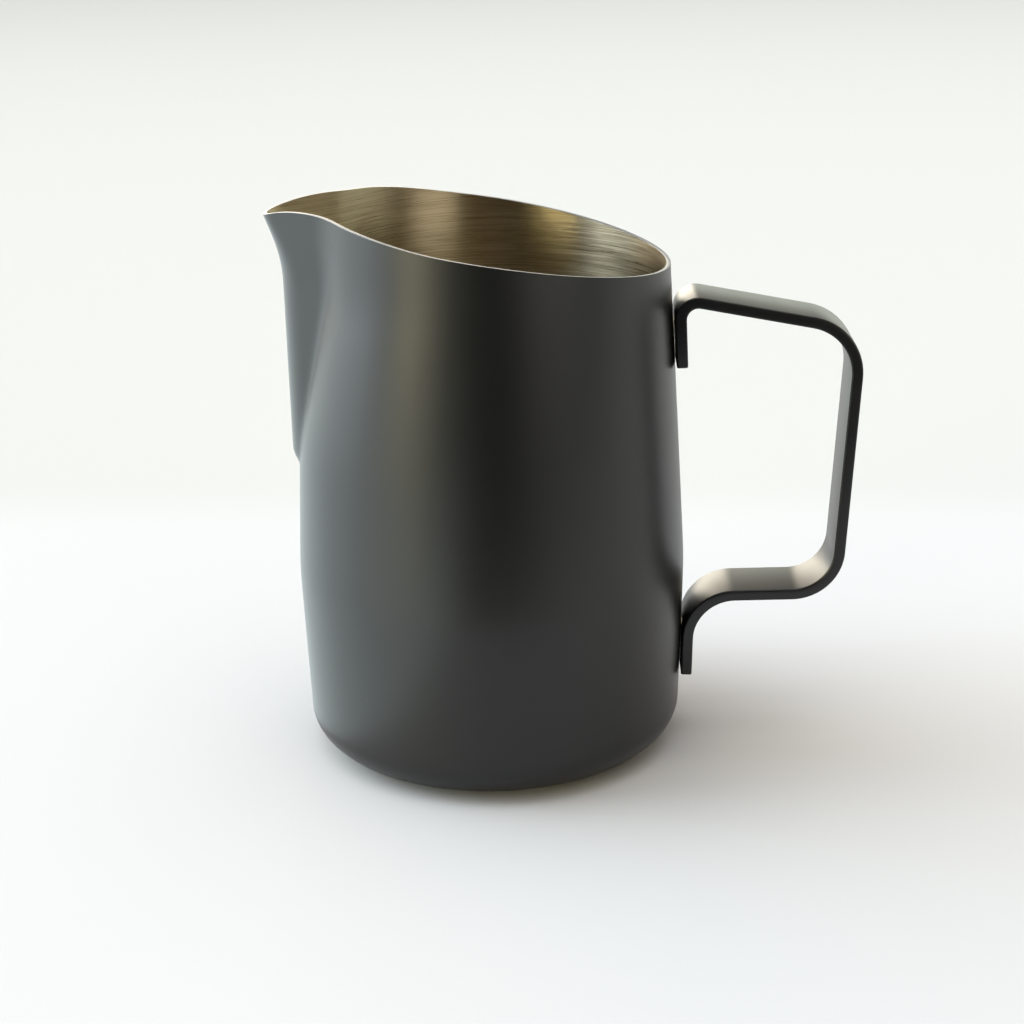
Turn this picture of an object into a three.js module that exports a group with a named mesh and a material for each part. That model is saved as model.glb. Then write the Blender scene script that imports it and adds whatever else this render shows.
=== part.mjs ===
// Milk frothing pitcher: a drawn steel shell with a pressed V spout and a slanted rim, and a flat
// bar handle bent to shape and spot-welded to the shell. Millimetres, +Z up. The origin is the
// centre of the underside, the handle points to +X and the spout to -X.
import * as THREE from 'three';

// Shell
const wall = 0.9;
const waistRadius = 43.99; // the widest ring of the body
const waistHeight = 42.7;
const lowerTaper = 0.032; // radius lost per mm below the waist
const upperTaper = 0.051; // radius lost per mm above the waist
const waistSoftness = 2.8;
const cornerRun = 11.7; // base corner, measured along the radius
const cornerRise = 9; // base corner, measured along the height

// Rim
const rimHeight = 118.735; // on the axis
const rimSlope = 0.166; // it falls towards the handle
const rimSag = 0.0006;
const rimPullStart = -5; // where pressing the spout starts to draw the rim up and then down
const rimPullReach = 43;
const rimLift = 5.8;
const rimDip = 8.4;

// Spout: two flat panels that meet in a rounded nose
const panelAngle = THREE.MathUtils.degToRad(42); // each panel from the XZ plane
const panelApex = 51.3; // where the two panels would meet
const panelSpread = 0.06; // apex gained per mm above the flare's start
const noseFront = 44.5;
const noseFoot = 66.8; // the nose leaves the body at this height
const noseFootRise = 4.5;
const noseFootDrop = 1.65;
const flareStart = 108;
const flareRate = 0.0185;
const flareReach = 10.5;
const valleySoftness = 0.4; // where the nose meets the cheeks, low down
const valleyRimSoftness = 2.2; // and at the rim

// Cheeks: the body is drawn inwards on both sides of the spout
const cheekStart = 78;
const cheekDistance = 41.5; // from the axis, at that height
const cheekLean = 0.187; // distance lost per mm above it
const cheekTopDistance = 35.7; // the least distance
const cheekSoftness = 1;
const cheekFull = 20; // degrees from -X where the whole depth is reached
const cheekEndLow = 78; // degrees from -X where the cheek runs out, low down
const cheekEndHigh = 86; // and near the rim
const cheekWidens = 75; // from this height up it runs out further round
const cheekWidensRise = 40;
const cheekEdge = 0.22; // softness of both ends, as a share of the width
const cheekCurl = 1.6; // draws the depth towards the spout

// Handle: the bar's middle line, from the upper tab round to the lower tab, as [x, z]
const barWidth = 15;
const barThickness = 2.5;
const barArris = 0.35;
const barLine = [
  [43.4, 88.6],
  [42.85, 103.9],
  [81.8, 96.5],
  [78.2, 35.6],
  [45.4, 35],
  [44.9, 15.65],
];
const barBends = [3.75, 11.9, 10.6, 10.9];

// Spot welds
const weldRadius = 1.8;
const weldRelief = 0.1;
const weldHeights = { upper: [92, 97], lower: [19.5, 25] };

// Mesh: columns in degrees apart, rings at these heights between the base corner and the flare
const fineStep = 4;
const coarseStep = 12;
const cornerSteps = 4;
const flareSteps = 4;
const rimPasses = 12; // to settle the height of the rim over a column
const bodyRings = [26, waistHeight, 56, 65.8, 67.2, 68.5, 71.3, 80, 89, 98];

const smoothMin = (a, b, k) => {
  const overlap = Math.max(k - Math.abs(a - b), 0);
  return Math.min(a, b) - (k > 0 ? (overlap * overlap) / (4 * k) : 0);
};
const smoothMax = (a, b, k) => -smoothMin(-a, -b, k);

// Radius of the round body, without the spout.
function bodyRadius(z) {
  const above = Math.max(z, cornerRise) - waistHeight;
  const bend = Math.hypot(above, waistSoftness) - waistSoftness;
  const straight = ((lowerTaper - upperTaper) / 2) * above;
  const side = waistRadius + straight - ((lowerTaper + upperTaper) / 2) * bend;
  if (z >= cornerRise) return side;
  const drop = 1 - z / cornerRise;
  return side - cornerRun * (1 - Math.sqrt(1 - drop * drop));
}

// How far the nose stands from the axis.
function noseDistance(z) {
  const foot = noseFootDrop * Math.pow(Math.max(1 - (z - noseFoot) / noseFootRise, 0), 3);
  const rise = Math.max(z - flareStart, 0);
  const bent = Math.min(rise, flareReach);
  const flare = flareRate * (bent * bent + 2 * flareReach * (rise - bent));
  return noseFront - foot + flare;
}

// Radius of the nose and of the panel beside it, at an angle from -X.
function noseRadius(angle, z) {
  const apex = panelApex + panelSpread * Math.max(z - flareStart, 0);
  const front = noseDistance(z);
  const round = (apex - front) / (1 / Math.sin(panelAngle) - 1);
  const centre = front - round;
  const panelNormal = Math.PI / 2 - panelAngle;
  const tangentX = centre + round * Math.cos(panelNormal);
  const tangentY = round * Math.sin(panelNormal);
  if (angle < Math.atan2(tangentY, tangentX)) {
    const across = centre * Math.sin(angle);
    return centre * Math.cos(angle) + Math.sqrt(round * round - across * across);
  }
  const panelDistance = apex * Math.sin(panelAngle);
  return panelDistance / Math.cos(Math.min(angle, panelNormal) - panelNormal);
}

// Radius of the body, drawn inwards on both sides of the spout.
function cheekRadius(angle, z) {
  const round = bodyRadius(z);
  const leaning = cheekDistance - cheekLean * (z - cheekStart);
  const distance = smoothMax(leaning, cheekTopDistance, cheekSoftness);
  const depth = round - smoothMin(round, distance, cheekSoftness);
  const wide = THREE.MathUtils.smoothstep(z, cheekWidens, cheekWidens + cheekWidensRise);
  const end = THREE.MathUtils.lerp(cheekEndLow, cheekEndHigh, wide);
  const share = (end - THREE.MathUtils.radToDeg(angle)) / (end - cheekFull);
  return round - depth * smoothMax(0, smoothMin(share, 1, cheekEdge), cheekEdge) ** cheekCurl;
}

function outerRadius(angle, z) {
  const around = Math.abs(angle);
  if (z < noseFoot - noseFootRise) return cheekRadius(around, z);
  const climb = THREE.MathUtils.clamp((z - noseFoot) / (rimHeight - noseFoot), 0, 1);
  const valley = THREE.MathUtils.lerp(valleySoftness, valleyRimSoftness, climb ** 3);
  return smoothMax(noseRadius(around, z), cheekRadius(around, z), valley);
}

function outerPoint(angle, z) {
  const radius = outerRadius(angle, z);
  return new THREE.Vector3(-radius * Math.cos(angle), -radius * Math.sin(angle), z);
}

// The same place on the inner surface, one wall thickness inwards.
function innerPoint(angle, z) {
  const step = 0.01;
  const here = outerPoint(angle, z);
  const up = outerPoint(angle, z + step).sub(outerPoint(angle, Math.max(z - step, 0)));
  const along = outerPoint(angle + step, z).sub(outerPoint(angle - step, z));
  const inwards = up.cross(along).normalize();
  return here.addScaledVector(inwards, wall);
}

function rimAt(x) {
  const pull = Math.max(rimPullStart - x, 0) / rimPullReach;
  const slanted = rimHeight - rimSlope * x - rimSag * x * x;
  return slanted + rimLift * pull ** 2 - rimDip * pull ** 4;
}

// Height of the rim over one column of the wall.
function rimOver(angle) {
  let z = rimHeight;
  for (let pass = 0; pass < rimPasses; pass += 1) z = rimAt(outerPoint(angle, z).x);
  return z;
}

// Columns close together round the spout and wider apart behind it, over one full turn.
function columnAngles() {
  const half = [];
  for (let degrees = fineStep; degrees <= cheekEndHigh; degrees += fineStep) half.push(degrees);
  for (let degrees = half.at(-1) + coarseStep; degrees < 180; degrees += coarseStep) half.push(degrees);
  const back = half.map((degrees) => -degrees).reverse();
  return [0, ...half, 180, ...back].map((degrees) => THREE.MathUtils.degToRad(degrees));
}

// Heights of the rings, from the underside up, over a column whose rim is at the height given.
function ringHeights(rim) {
  const heights = [];
  for (let step = 0; step <= cornerSteps; step += 1) {
    heights.push(cornerRise * (1 - Math.cos((step * Math.PI) / (2 * cornerSteps))));
  }
  heights.push(...bodyRings, flareStart);
  for (let step = 1; step <= flareSteps; step += 1) {
    heights.push(THREE.MathUtils.lerp(flareStart, rim, step / flareSteps));
  }
  return heights;
}

// A closed surface over rings of equal length, from one pole to the other.
function closedSurface(bottom, rings, top) {
  const points = [bottom, ...rings.flat(), top];
  const count = rings[0].length;
  const last = points.length - 1;
  const faces = [];
  for (let column = 0; column < count; column += 1) {
    const next = (column + 1) % count;
    faces.push(0, 1 + next, 1 + column);
    for (let ring = 0; ring < rings.length - 1; ring += 1) {
      const low = 1 + ring * count;
      const high = low + count;
      faces.push(low + column, low + next, high + next);
      faces.push(low + column, high + next, high + column);
    }
    faces.push(last - count + column, last - count + next, last);
  }
  const geometry = new THREE.BufferGeometry().setFromPoints(points);
  geometry.setIndex(faces);
  geometry.computeVertexNormals();
  return geometry;
}

function makeBodyShell() {
  const angles = columnAngles();
  const columns = angles.map((angle) => ringHeights(rimOver(angle)));
  const ringCount = columns[0].length;
  const outside = [];
  const inside = [];
  for (let ring = 0; ring < ringCount; ring += 1) {
    outside.push(angles.map((angle, i) => outerPoint(angle, columns[i][ring])));
    inside.unshift(angles.map((angle, i) => innerPoint(angle, columns[i][ring])));
  }
  const underside = new THREE.Vector3(0, 0, 0);
  const floor = new THREE.Vector3(0, 0, wall);
  const geometry = closedSurface(underside, [...outside, ...inside], floor);
  const blackCoat = new THREE.MeshStandardMaterial({ color: 0x2b2c2d, roughness: 0.48, metalness: 0.25 });
  const shell = new THREE.Mesh(geometry, blackCoat);
  shell.name = 'body_shell';
  return shell;
}

// One bend of the bar: the centre of its arc, the angles it runs between and which way it turns.
function bendAt(before, corner, after, radius) {
  const arriving = corner.clone().sub(before).normalize();
  const leaving = after.clone().sub(corner).normalize();
  const turn = Math.sign(arriving.cross(leaving));
  const reach = radius * Math.tan(Math.acos(arriving.dot(leaving)) / 2);
  const side = new THREE.Vector2(-arriving.y, arriving.x).multiplyScalar(turn);
  const centre = corner.clone().addScaledVector(arriving, -reach).addScaledVector(side, radius);
  const start = Math.atan2(-side.y, -side.x);
  const end = Math.atan2(-leaving.x * turn, leaving.y * turn);
  return { centre, radius, turn, start, end };
}

// Outline of the bar seen from the side: out along its left face and back along its right face.
function barOutline(half) {
  const line = barLine.map(([x, z]) => new THREE.Vector2(x, z));
  const bends = barBends.map((radius, i) => bendAt(line[i], line[i + 1], line[i + 2], radius));
  const ends = [[line[0], line[1]], [line[line.length - 2], line[line.length - 1]]];
  const across = ends.map(([from, to]) => {
    const along = to.clone().sub(from).normalize();
    return new THREE.Vector2(-along.y, along.x).multiplyScalar(half);
  });
  const first = line[0];
  const last = line[line.length - 1];
  const outline = new THREE.Shape();
  outline.moveTo(first.x - across[0].x, first.y - across[0].y);
  outline.lineTo(first.x + across[0].x, first.y + across[0].y);
  for (const bend of bends) {
    const radius = bend.radius - bend.turn * half;
    outline.absarc(bend.centre.x, bend.centre.y, radius, bend.start, bend.end, bend.turn < 0);
  }
  outline.lineTo(last.x + across[1].x, last.y + across[1].y);
  outline.lineTo(last.x - across[1].x, last.y - across[1].y);
  for (const bend of [...bends].reverse()) {
    const radius = bend.radius + bend.turn * half;
    outline.absarc(bend.centre.x, bend.centre.y, radius, bend.end, bend.start, bend.turn > 0);
  }
  return outline;
}

function makeHandleStrap() {
  const geometry = new THREE.ExtrudeGeometry(barOutline(barThickness / 2), {
    depth: barWidth - 2 * barArris,
    curveSegments: 6,
    bevelEnabled: true,
    bevelThickness: barArris,
    bevelSize: barArris,
    bevelOffset: -barArris,
    bevelSegments: 2,
  });
  const blackBar = new THREE.MeshStandardMaterial({ color: 0x1d1d20, roughness: 0.42, metalness: 0.25 });
  const strap = new THREE.Mesh(geometry, blackBar);
  strap.name = 'handle_strap';
  strap.rotation.x = Math.PI / 2;
  strap.position.y = barWidth / 2 - barArris;
  return strap;
}

// Inner face of a tab, at one height, from two points of its middle line.
function tabFace([x0, z0], [x1, z1], z) {
  return THREE.MathUtils.mapLinear(z, z0, z1, x0, x1) - barThickness / 2;
}

// Weld metal between the shell and a tab of the handle.
function makeSpotWelds() {
  const tabs = { upper: [barLine[0], barLine[1]], lower: [barLine[5], barLine[4]] };
  const steel = new THREE.MeshStandardMaterial({ color: 0x8d8a84, roughness: 0.5, metalness: 1 });
  const welds = [];
  for (const [tab, [foot, head]] of Object.entries(tabs)) {
    const lean = Math.atan2(head[0] - foot[0], head[1] - foot[1]);
    weldHeights[tab].forEach((z, i) => {
      const face = tabFace(foot, head, z);
      const gap = face - bodyRadius(z);
      const nugget = new THREE.CylinderGeometry(weldRadius, weldRadius, gap - 2 * weldRelief, 20);
      const weld = new THREE.Mesh(nugget, steel.clone());
      weld.name = `${tab}_spot_weld_${i + 1}`;
      weld.position.set(face - gap / 2, 0, z);
      weld.rotation.set(0, lean, Math.PI / 2);
      welds.push(weld);
    });
  }
  return welds;
}

const pitcher = new THREE.Group();
pitcher.add(makeBodyShell(), makeHandleStrap(), ...makeSpotWelds());

export default pitcher;
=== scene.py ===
"""Milk frothing pitcher: a drawn steel shell, coated satin black outside and brushed bare inside,
with a bent flat-bar handle spot-welded to it. Metres, +Z up, handle to +X, spout to -X."""

import math

import bpy
from mathutils import Matrix, Vector


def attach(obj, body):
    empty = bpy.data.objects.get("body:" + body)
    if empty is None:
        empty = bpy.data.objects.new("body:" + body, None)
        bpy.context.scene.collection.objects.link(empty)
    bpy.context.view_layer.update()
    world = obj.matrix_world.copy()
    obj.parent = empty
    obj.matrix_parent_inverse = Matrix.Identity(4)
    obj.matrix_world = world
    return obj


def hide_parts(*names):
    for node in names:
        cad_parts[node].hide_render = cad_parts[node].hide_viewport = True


MM = 0.001
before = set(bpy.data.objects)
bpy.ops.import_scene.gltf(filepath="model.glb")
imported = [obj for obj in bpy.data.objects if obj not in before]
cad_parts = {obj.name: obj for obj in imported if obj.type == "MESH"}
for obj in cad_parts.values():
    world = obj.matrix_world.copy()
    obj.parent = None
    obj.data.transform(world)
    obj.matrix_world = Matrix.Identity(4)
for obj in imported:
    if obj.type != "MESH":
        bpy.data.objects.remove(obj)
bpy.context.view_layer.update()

# Shell, in millimetres
WALL = 0.9
WAIST_RADIUS = 43.99
WAIST_HEIGHT = 42.7
LOWER_TAPER = 0.032
UPPER_TAPER = 0.051
WAIST_SOFTNESS = 2.8
CORNER_RUN = 11.7
CORNER_RISE = 9
RECESS_RADIUS = 26
RECESS_DEPTH = 0.2
RECESS_SLOPE = 1.5
COLUMNS = 288
CORNER_STEPS = 14
ROW_STEP = 1.6
FOOT_ROW_STEP = 0.6
FOOT_ROWS_BELOW = 3
FOOT_ROWS_ABOVE = 6
PRESS_MARGIN = 2
BLANK_TOP = 128
RIM_EDGE = 0.42
RIM_PASSES = 12

# Rim, in millimetres
RIM_HEIGHT = 118.735
RIM_SLOPE = 0.166
RIM_SAG = 0.0006
RIM_PULL_START = -5
RIM_PULL_REACH = 43
RIM_LIFT = 5.8
RIM_DIP = 8.4

# Spout, in millimetres and radians
PANEL_ANGLE = math.radians(42)
PANEL_APEX = 51.3
PANEL_SPREAD = 0.06
NOSE_FRONT = 44.5
NOSE_FOOT = 66.8
NOSE_FOOT_RISE = 4.5
NOSE_FOOT_DROP = 1.65
FLARE_START = 108
FLARE_RATE = 0.0185
FLARE_REACH = 10.5
VALLEY_SOFTNESS = 0.4
VALLEY_RIM_SOFTNESS = 2.2
CHEEK_START = 78
CHEEK_DISTANCE = 41.5
CHEEK_LEAN = 0.187
CHEEK_TOP_DISTANCE = 35.7
CHEEK_SOFTNESS = 1
CHEEK_EASE = 1
CHEEK_FULL = 20
CHEEK_END_LOW = 78
CHEEK_END_HIGH = 86
CHEEK_WIDENS = 75
CHEEK_WIDENS_RISE = 40
CHEEK_EDGE = 0.22
CHEEK_CURL = 1.6

# Handle, in millimetres: its middle line from the upper tab to the lower tab, as (x, z)
BAR_WIDTH = 15
BAR_THICKNESS = 2.5
BAR_ARRIS = 0.4
BAR_LINE = ((43.1, 88.6), (42.55, 103.9), (81.8, 96.5), (78.2, 35.6), (45.1, 35), (44.6, 15.65))
BAR_BENDS = (3.75, 11.9, 10.6, 10.9)
BEND_STEPS = 20

# Edges, in radians
ARRIS_ANGLE = math.radians(60)
SHADING_ANGLE = math.radians(40)

# Camera
CAMERA_TURN = math.radians(2.403)
CAMERA_RISE = math.radians(19.015)
CAMERA_ROLL = math.radians(-1.198)
CAMERA_DISTANCE = 0.43579
CAMERA_AIM = Vector((0.004815, 0.000202, 0.053137))
CAMERA_LENS = 66.87

# Stage
FLOOR_SIZE = 8
TABLE_EDGE = 0.155
OVERHEAD_HEIGHT = 1.5
OVERHEAD_SIZE = 4
OVERHEAD_POWER = 44
PLAIN_WALL = (0.86, 0.86, 0.84, 1)

# Steel, in turns of a pattern per metre across the strokes
STROKES = 3600
SCRATCHES = 4680
SWAY = 0.0003


class Value:
    """A number in a node tree. Arithmetic on it adds Math nodes."""

    def __init__(self, finish, socket):
        self.finish, self.socket = finish, socket

    def join(self, operation, *others):
        sockets = dict(enumerate((self, *others)))
        return self.finish.value("ShaderNodeMath", {"operation": operation}, sockets)

    def __add__(self, other):
        return self.join("ADD", other)

    def __sub__(self, other):
        return self.join("SUBTRACT", other)

    def __rsub__(self, other):
        return self.finish.value("ShaderNodeMath", {"operation": "SUBTRACT"}, {0: other, 1: self})

    def __mul__(self, other):
        return self.join("MULTIPLY", other)

    __radd__, __rmul__ = __add__, __mul__

    def step(self, low, high):
        """0 below low, 1 above high and smooth between."""
        sockets = {"Value": self, "From Min": low, "From Max": high}
        return self.finish.value("ShaderNodeMapRange", {"interpolation_type": "SMOOTHSTEP"}, sockets)


class Finish:
    """The node tree of one material or of the world."""

    def __init__(self, owner):
        owner.use_nodes = True
        self.owner, self.tree = owner, owner.node_tree
        self.tree.nodes.clear()

    def node(self, kind, settings=None, sockets=None):
        made = self.tree.nodes.new(kind)
        for name, setting in (settings or {}).items():
            setattr(made, name, setting)
        for name, given in (sockets or {}).items():
            self.feed(made.inputs[name], given)
        return made

    def feed(self, socket, given):
        if isinstance(given, Value):
            self.tree.links.new(given.socket, socket)
        else:
            socket.default_value = given

    def value(self, kind, settings=None, sockets=None, output=0):
        return Value(self, self.node(kind, settings, sockets).outputs[output])

    def place(self, scale=(1, 1, 1)):
        """Object coordinates, in metres, stretched by a scale."""
        spot = self.value("ShaderNodeTexCoord", output="Object")
        return self.value("ShaderNodeVectorMath", {"operation": "MULTIPLY"}, {0: spot, 1: scale})

    def split(self, where):
        """The x, y and z of a place."""
        made = self.node("ShaderNodeSeparateXYZ", None, {0: where})
        return [Value(self, made.outputs[axis]) for axis in "XYZ"]

    def shift(self, where, step):
        """Moves places by a step that may vary."""
        return self.value("ShaderNodeVectorMath", {"operation": "ADD"}, {0: where, 1: step})

    def noise(self, where, scale, detail=2, roughness=0.5):
        sockets = {"Vector": where, "Scale": scale, "Detail": detail, "Roughness": roughness}
        return self.value("ShaderNodeTexNoise", None, sockets)

    def mix(self, share, first, second):
        """The first colour where the share is 0 and the second where it is 1."""
        made = self.node("ShaderNodeMix", {"data_type": "RGBA"})
        inputs = {socket.name: socket for socket in made.inputs if socket.enabled}
        for name, given in (("Factor", share), ("A", first), ("B", second)):
            self.feed(inputs[name], given)
        return Value(self, next(socket for socket in made.outputs if socket.enabled))

    def glow(self, *lights):
        """Adds up soft lights, each a mask and its red, green and blue brightness."""
        total = [0, 0, 0]
        for mask, *brightness in lights:
            total = [whole + mask * part for whole, part in zip(total, brightness)]
        return self.value("ShaderNodeCombineColor", None, dict(zip(("Red", "Green", "Blue"), total)))

    def bump(self, height, depth, strength=1.0):
        sockets = {"Height": height, "Distance": depth, "Strength": strength}
        return self.value("ShaderNodeBump", None, sockets)

    def surface(self, **sockets):
        names = {name.replace("_", " "): given for name, given in sockets.items()}
        shader = self.value("ShaderNodeBsdfPrincipled", None, names)
        self.node("ShaderNodeOutputMaterial", None, {"Surface": shader})
        return self.owner


def new_finish(name):
    return Finish(bpy.data.materials.new(name))


def black_coat():
    """Satin black coat: a fine powdery grain, faint handling smudges and a little dust."""
    finish = new_finish("satin_black_coat")
    place = finish.place()
    grain = finish.noise(place, 2600, 3)
    cloud = finish.noise(place, 45, 3)
    smudge = finish.noise(place, 140, 4, 0.6)
    dust = finish.noise(place, 620, 1).step(0.78, 0.84)
    colour = finish.mix(cloud, (0.0015, 0.0015, 0.0015, 1), (0.003, 0.003, 0.003, 1))
    colour = finish.mix(dust, colour, (0.014, 0.014, 0.013, 1))
    return finish.surface(
        Base_Color=colour,
        Roughness=0.32 + 0.04 * smudge + 0.04 * grain + 0.05 * dust,
        Metallic=0.0,
        Normal=finish.bump(grain, 0.000008, 0.5),
    )


def bare_steel():
    """Bare stainless steel, brushed round the axis by hand. Its tan tone is partly painted: the
    steel's own grey, tinted warm as a painted reflection of warm surroundings.
    """
    finish = new_finish("brushed_bare_steel")
    sway = SWAY * finish.noise(finish.place((35, 35, 35)), 1, 2)
    brushed = finish.shift(finish.place((45, 45, STROKES)), STROKES * sway)
    strokes = finish.noise(brushed, 1, 3, 0.62).step(0.3, 0.7)
    scratched = finish.shift(finish.place((130, 130, SCRATCHES)), SCRATCHES * sway)
    scratches = finish.noise(scratched, 1, 2, 0.5).step(0.6, 0.75)
    # The two stroke tones are the steel's own grain; their warm tan tint is painted reflection of
    # warm surroundings.
    colour = finish.mix(strokes, (0.33, 0.27, 0.17, 1), (0.53, 0.45, 0.31, 1))
    colour = finish.mix(0.4 * scratches, colour, (0.18, 0.13, 0.08, 1))
    return finish.surface(
        Base_Color=colour,
        Roughness=0.27 + 0.1 * strokes,
        Metallic=1.0,
        Anisotropic=1.0,
        Anisotropic_Rotation=0.25,
        Normal=finish.bump(strokes - 0.5 * scratches, 0.00003, 0.6),
    )


def cut_edge():
    """The sheared and polished edge of the sheet at the rim."""
    finish = new_finish("cut_edge")
    strokes = finish.noise(finish.place((400, 400, 400)), 1, 3)
    colour = finish.mix(strokes, (0.16, 0.17, 0.19, 1), (0.24, 0.25, 0.27, 1))
    return finish.surface(
        Base_Color=colour,
        Roughness=0.38 + 0.1 * strokes,
        Metallic=1.0,
        Normal=finish.bump(strokes, 0.00002, 0.4),
    )


def handle_coat():
    """The bar's coat, a little smoother than the shell's."""
    finish = new_finish("bar_coat")
    place = finish.place()
    grain = finish.noise(place, 2600, 3)
    smudge = finish.noise(place, 160, 3)
    colour = finish.mix(smudge, (0.002, 0.002, 0.003, 1), (0.004, 0.004, 0.005, 1))
    return finish.surface(
        Base_Color=colour,
        Roughness=0.28 + 0.05 * smudge + 0.04 * grain,
        Metallic=0.0,
        Normal=finish.bump(grain, 0.000008, 0.5),
    )


def smooth_min(first, second, softness):
    """The lesser of two values, rounded where they are within softness of each other."""
    overlap = max(softness - abs(first - second), 0)
    return min(first, second) - overlap * overlap / (4 * softness)


def smooth_max(first, second, softness):
    return -smooth_min(-first, -second, softness)


def ease(share):
    """Goes from 0 to 1 with a level start and a level end."""
    share = min(max(share, 0), 1)
    return share * share * (3 - 2 * share)


def body_radius(z):
    """Radius of the round body, without the spout."""
    above = max(z, CORNER_RISE) - WAIST_HEIGHT
    bend = math.hypot(above, WAIST_SOFTNESS) - WAIST_SOFTNESS
    side = WAIST_RADIUS + (LOWER_TAPER - UPPER_TAPER) / 2 * above
    side -= (LOWER_TAPER + UPPER_TAPER) / 2 * bend
    if z >= CORNER_RISE:
        return side
    drop = 1 - z / CORNER_RISE
    return side - CORNER_RUN * (1 - math.sqrt(1 - drop * drop))


def nose_distance(z):
    """How far the front of the nose stands from the axis."""
    foot = NOSE_FOOT_DROP * max(1 - (z - NOSE_FOOT) / NOSE_FOOT_RISE, 0) ** 3
    rise = max(z - FLARE_START, 0)
    bent = min(rise, FLARE_REACH)
    return NOSE_FRONT - foot + FLARE_RATE * (bent * bent + 2 * FLARE_REACH * (rise - bent))


def nose_radius(angle, z):
    """Radius of the nose and of the flat panel beside it."""
    apex = PANEL_APEX + PANEL_SPREAD * max(z - FLARE_START, 0)
    front = nose_distance(z)
    rounding = (apex - front) / (1 / math.sin(PANEL_ANGLE) - 1)
    centre = front - rounding
    normal = math.pi / 2 - PANEL_ANGLE
    if angle < math.atan2(rounding * math.sin(normal), centre + rounding * math.cos(normal)):
        return centre * math.cos(angle) + math.sqrt(rounding ** 2 - (centre * math.sin(angle)) ** 2)
    return apex * math.sin(PANEL_ANGLE) / math.cos(min(angle, normal) - normal)


def cheek_radius(angle, z):
    """Radius of the body, drawn inwards on both sides of the spout."""
    around = body_radius(z)
    leaning = CHEEK_DISTANCE - CHEEK_LEAN * (z - CHEEK_START)
    cheek = smooth_max(leaning, CHEEK_TOP_DISTANCE, CHEEK_SOFTNESS)
    depth = around - smooth_min(around, cheek, CHEEK_EASE)
    widened = ease((z - CHEEK_WIDENS) / CHEEK_WIDENS_RISE)
    end = CHEEK_END_LOW + (CHEEK_END_HIGH - CHEEK_END_LOW) * widened
    share = smooth_min((end - math.degrees(angle)) / (end - CHEEK_FULL), 1, CHEEK_EDGE)
    return around - depth * smooth_max(0, share, CHEEK_EDGE) ** CHEEK_CURL


def outer_radius(angle, z):
    """Radius of the shell's outside, at an angle from the spout."""
    if z < NOSE_FOOT - NOSE_FOOT_RISE:
        return cheek_radius(angle, z)
    climb = min(max((z - NOSE_FOOT) / (RIM_HEIGHT - NOSE_FOOT), 0), 1)
    valley = VALLEY_SOFTNESS + (VALLEY_RIM_SOFTNESS - VALLEY_SOFTNESS) * climb ** 3
    return smooth_max(nose_radius(angle, z), cheek_radius(angle, z), valley)


def rim_over(angle):
    """Height of the rim at an angle from the spout."""
    z = RIM_HEIGHT
    for _ in range(RIM_PASSES):
        x = -outer_radius(angle, z) * math.cos(angle)
        pull = max(RIM_PULL_START - x, 0) / RIM_PULL_REACH
        z = RIM_HEIGHT - RIM_SLOPE * x - RIM_SAG * x * x
        z += RIM_LIFT * pull ** 2 - RIM_DIP * pull ** 4
    return z


def deselect():
    bpy.ops.object.select_all(action="DESELECT")


def pick(piece):
    deselect()
    piece.select_set(True)
    bpy.context.view_layer.objects.active = piece


def edit(piece):
    """Opens a piece in edit mode with all of it selected."""
    pick(piece)
    bpy.ops.object.mode_set(mode="EDIT")
    bpy.ops.mesh.select_all(action="SELECT")


def close_up():
    """Merges the doubles that a spin leaves, turns the faces outwards and leaves edit mode."""
    bpy.ops.mesh.select_all(action="SELECT")
    bpy.ops.mesh.remove_doubles(threshold=0.01 * MM)
    bpy.ops.mesh.normals_make_consistent(inside=False)
    bpy.ops.object.mode_set(mode="OBJECT")


def add_plane(name, size, place=(0, 0, 0)):
    deselect()
    bpy.ops.mesh.primitive_plane_add(size=size, location=place)
    bpy.context.object.name = name
    return bpy.context.object


def modify(piece, kind, **settings):
    """Adds a modifier and applies it."""
    pick(piece)
    modifier = piece.modifiers.new(kind.lower(), kind)
    for name, setting in settings.items():
        setattr(modifier, name, setting)
    bpy.ops.object.modifier_apply(modifier=modifier.name)


def round_arrises(piece, width, **settings):
    """Rounds the sharp edges of a piece and shades the rest smooth."""
    limit = {"limit_method": "ANGLE", "angle_limit": ARRIS_ANGLE}
    modify(piece, "BEVEL", width=width * MM, **limit, **settings)
    bpy.ops.object.shade_smooth_by_angle(angle=SHADING_ANGLE)


def wall_profile():
    """The blank's profile from the middle of the underside up the wall, as (radius, height)."""
    flat = body_radius(0)
    profile = [(0, RECESS_DEPTH), (RECESS_RADIUS / 2, RECESS_DEPTH), (RECESS_RADIUS, RECESS_DEPTH)]
    edge = RECESS_RADIUS + RECESS_SLOPE
    profile += [(RECESS_RADIUS + RECESS_SLOPE / 2, RECESS_DEPTH / 2), (edge, 0)]
    profile += [((edge + flat) / 2, 0), (flat, 0)]
    turns = [math.pi / 2 * step / CORNER_STEPS for step in range(1, CORNER_STEPS)]
    heights = [CORNER_RISE * (1 - math.cos(turn)) for turn in turns]
    z = CORNER_RISE
    while z < BLANK_TOP:
        heights.append(z)
        by_foot = NOSE_FOOT - FOOT_ROWS_BELOW < z < NOSE_FOOT + FOOT_ROWS_ABOVE
        z += FOOT_ROW_STEP if by_foot else ROW_STEP
    heights.append(BLANK_TOP)
    return profile + [(body_radius(z), z) for z in heights]


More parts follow.
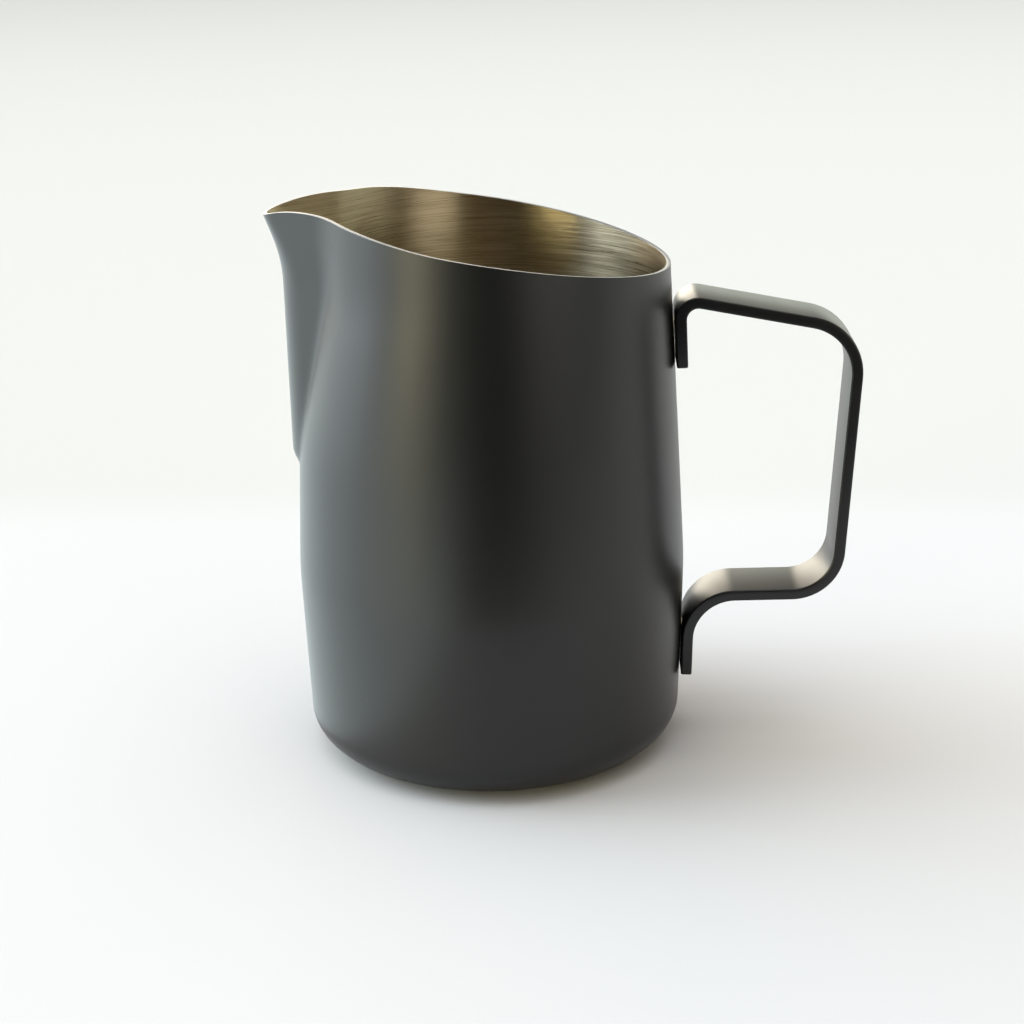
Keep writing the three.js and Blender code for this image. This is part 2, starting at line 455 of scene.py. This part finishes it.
def spin_blank():
    """Draws the profile as a chain of edges and spins it round the axis."""
    profile = wall_profile()
    blank = add_plane("pitcher_shell", MM, Vector((profile[0][0], 0, profile[0][1])) * MM)
    bpy.ops.object.transform_apply(location=True)
    edit(blank)
    bpy.ops.mesh.merge(type="CENTER")
    for (r0, z0), (r1, z1) in zip(profile, profile[1:]):
        step = Vector((r1 - r0, 0, z1 - z0)) * MM
        bpy.ops.mesh.extrude_vertices_move(TRANSFORM_OT_translate={"value": step})
    bpy.ops.mesh.select_all(action="SELECT")
    bpy.ops.mesh.spin(steps=COLUMNS, angle=2 * math.pi, center=(0, 0, 0), axis=(0, 0, 1))
    close_up()
    return blank


def press_spout(blank):
    """Presses the V spout into the round wall and trims the top to the slanted rim."""
    rims = {}
    for vertex in blank.data.vertices:
        x, y, z = vertex.co / MM
        if z < NOSE_FOOT - NOSE_FOOT_RISE - PRESS_MARGIN:
            continue
        angle = abs(math.atan2(y, -x))
        if z > FLARE_START:
            column = round(angle, 5)
            if column not in rims:
                rims[column] = rim_over(angle)
            trimmed = (rims[column] - FLARE_START) / (BLANK_TOP - FLARE_START)
            z = FLARE_START + (z - FLARE_START) * trimmed
        scale = outer_radius(angle, z) / math.hypot(x, y)
        vertex.co = Vector((x * scale, y * scale, z)) * MM


def make_shell():
    """One sheet: spun up as a blank, pressed and trimmed, then given its wall and its cut edge."""
    shell = spin_blank()
    press_spout(shell)
    for material in (black_coat(), bare_steel(), cut_edge()):
        shell.data.materials.append(material)
    wall = {"thickness": WALL * MM, "offset": -1, "use_even_offset": True}
    modify(shell, "SOLIDIFY", **wall, material_offset=1, material_offset_rim=2)
    round_arrises(shell, RIM_EDGE, segments=3, material=2)
    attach(shell, "root")
    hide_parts("body_shell")


def rotated(arm, angle):
    cosine, sine = math.cos(angle), math.sin(angle)
    return Vector((arm.x * cosine - arm.y * sine, arm.x * sine + arm.y * cosine))


def bend_of(before, corner, after, radius):
    """The start and centre of a bend of the bar, and the angle it turns through."""
    arriving, leaving = (corner - before).normalized(), (after - corner).normalized()
    turn = math.atan2(arriving.cross(leaving), arriving.dot(leaving))
    start = corner - arriving * radius * math.tan(abs(turn) / 2)
    side = Vector((-arriving.y, arriving.x)) * math.copysign(1, turn)
    return start, start + side * radius, turn


def make_handle():
    """A flat bar, drawn out along its straights and spun round its bends."""
    line = [Vector(point) for point in BAR_LINE]
    along = (line[1] - line[0]).normalized()
    bar = add_plane("handle_bar", 1)
    bar.scale = (BAR_THICKNESS * MM, BAR_WIDTH * MM, 1)
    bar.rotation_euler = (0, math.atan2(along.x, along.y), 0)
    bar.location = (line[0].x * MM, 0, line[0].y * MM)
    bpy.ops.object.transform_apply(location=True, rotation=True, scale=True)
    edit(bar)
    here = line[0]
    for before, corner, after, radius in zip(line, line[1:], line[2:], BAR_BENDS):
        start, centre, turn = bend_of(before, corner, after, radius)
        step = (start - here) * MM
        bpy.ops.mesh.extrude_region_move(TRANSFORM_OT_translate={"value": (step.x, 0, step.y)})
        pivot = (centre.x * MM, 0, centre.y * MM)
        bpy.ops.mesh.spin(steps=BEND_STEPS, angle=turn, center=pivot, axis=(0, 1, 0))
        here = centre + rotated(start - centre, turn)
    step = (line[-1] - here) * MM
    bpy.ops.mesh.extrude_region_move(TRANSFORM_OT_translate={"value": (step.x, 0, step.y)})
    close_up()
    round_arrises(bar, BAR_ARRIS, segments=4)
    bar.data.materials.append(handle_coat())
    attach(bar, "root")
    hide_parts("handle_strap")


def finish_welds():
    """Gives the weld metal between the bar and the shell its steel."""
    steel = bpy.data.materials["brushed_bare_steel"]
    for name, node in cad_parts.items():
        if "spot_weld" in name:
            node.data.materials.clear()
            node.data.materials.append(steel)


def make_floor():
    """A pale table top that turns a little warmer and darker beyond its back edge, where it stands in
    for the wall behind the table; the darker tone there is painted shade of that wall.
    """
    floor = add_plane("floor", FLOOR_SIZE)
    finish = new_finish("pale_table")
    depth = finish.split(finish.place())[1]
    # Beyond the back edge the floor is painted as the wall: a little warmer, and darker as painted
    # shade of a wall lit less than the table top.
    beyond = depth.step(TABLE_EDGE - 0.02, TABLE_EDGE + 0.03)
    colour = finish.mix(beyond, (0.49, 0.49, 0.495, 1), (0.465, 0.465, 0.455, 1))
    top = finish.surface(Base_Color=colour, Roughness=0.8, Specular_IOR_Level=0.0)
    floor.data.materials.append(top)


def make_card(name, low, high, height, colour, strength):
    """A card lying beside the pitcher that is only seen as a reflection in its coat."""
    middle = ((low[0] + high[0]) / 2, (low[1] + high[1]) / 2, height)
    card = add_plane(name, 1, middle)
    card.scale = (high[0] - low[0], high[1] - low[1], 1)
    bpy.ops.object.transform_apply(location=True, scale=True)
    finish = new_finish(name)
    glow = finish.value("ShaderNodeEmission", None, {"Color": colour, "Strength": strength})
    finish.node("ShaderNodeOutputMaterial", None, {"Surface": glow})
    card.data.materials.append(finish.owner)
    card.visible_camera = card.visible_diffuse = False
    card.visible_transmission = card.visible_shadow = False


def make_overhead_light():
    """A wide, soft light above the table that lights it without showing in the coat."""
    bpy.ops.object.light_add(type="AREA", location=(0, 0, OVERHEAD_HEIGHT))
    light = bpy.context.object
    light.name = "overhead_light"
    light.data.size = OVERHEAD_SIZE
    light.data.energy = OVERHEAD_POWER
    light.visible_glossy = False


def make_world():
    """Plain and pale to the camera, and soft lights round the studio to everything else.

    Each mask is a patch of the sky, in degrees round from +X and up from the table."""
    world = bpy.data.worlds.new("studio")
    bpy.context.scene.world = world
    finish = Finish(world)
    x, y, z = finish.split(finish.value("ShaderNodeTexCoord", output="Generated"))
    round_way = x.join("ARCTAN2", -1 * y) * math.degrees(1)
    rise = z.join("ARCSINE") * math.degrees(1)
    aside = round_way.join("ABSOLUTE")
    window = round_way.step(-150, -85) * (1 - round_way.step(-90, -60)) * (1 - rise.step(28, 73))
    curtain = round_way.step(-65, -52) * (1 - round_way.step(-50, -24)) * (1 - rise.step(6, 23))
    wall = aside.step(61, 100) * (1 - rise.step(0, 27))
    strip = round_way.step(22, 31) * (1 - round_way.step(50, 76)) * (1 - rise.step(0, 25))
    corner = round_way.step(12, 30) * (1 - round_way.step(100, 120))
    corner *= rise.step(5, 28) * (1 - rise.step(28, 60))
    ceiling = rise.step(52, 82)
    backdrop = (1 - round_way.step(-140, -105)) * (1 - rise.step(12, 48))
    behind = aside.step(105, 150) * rise.step(0, 25) * (1 - rise.step(40, 60))
    light = finish.glow(
        (window, 7.3, 8.4, 9.2),
        (curtain, 17.9, 16.1, 9.7),
        (wall, 1.8, 1.9, 1.63),
        (strip, 4.3, 4.2, 3.8),
        (corner, 0.48, 0.32, 0.12),
        (ceiling, 2.7, 2.7, 2.7),
        (backdrop, 4.4, 3.9, 3.2),
        (behind, 0.5, 0.48, 0.42),
    )
    seen = finish.value("ShaderNodeLightPath", output="Is Camera Ray")
    colour = finish.mix(seen, light, PLAIN_WALL)
    background = finish.value("ShaderNodeBackground", None, {"Color": colour, "Strength": 1.0})
    finish.node("ShaderNodeOutputWorld", None, {"Surface": background})


def make_camera():
    """Looks at the pitcher from the front and a little above."""
    turn, rise = CAMERA_TURN, CAMERA_RISE
    back = Vector((math.sin(turn) * math.cos(rise), -math.cos(turn) * math.cos(rise), math.sin(rise)))
    data = bpy.data.cameras.new("camera")
    data.lens, data.sensor_width = CAMERA_LENS, 36
    data.clip_start, data.clip_end = 0.01, 50
    camera = bpy.data.objects.new("camera", data)
    bpy.context.scene.collection.objects.link(camera)
    facing = (-back).to_track_quat("-Z", "Y").to_matrix().to_4x4()
    facing = facing @ Matrix.Rotation(CAMERA_ROLL, 4, "Z")
    facing.translation = CAMERA_AIM + back * CAMERA_DISTANCE
    camera.matrix_world = facing
    bpy.context.scene.camera = camera


make_camera()
make_shell()
make_handle()
finish_welds()
make_floor()
make_card("white_card", (-0.8, -0.24), (-0.047, 0.5), 0.002, (0.88, 0.99, 1, 1), 1.92)
make_card("black_card", (-0.25, -2.0), (1.5, -0.18), 0.001, (0, 0, 0, 1), 0)
make_overhead_light()
make_world()
bpy.context.scene.view_settings.view_transform = "Standard"
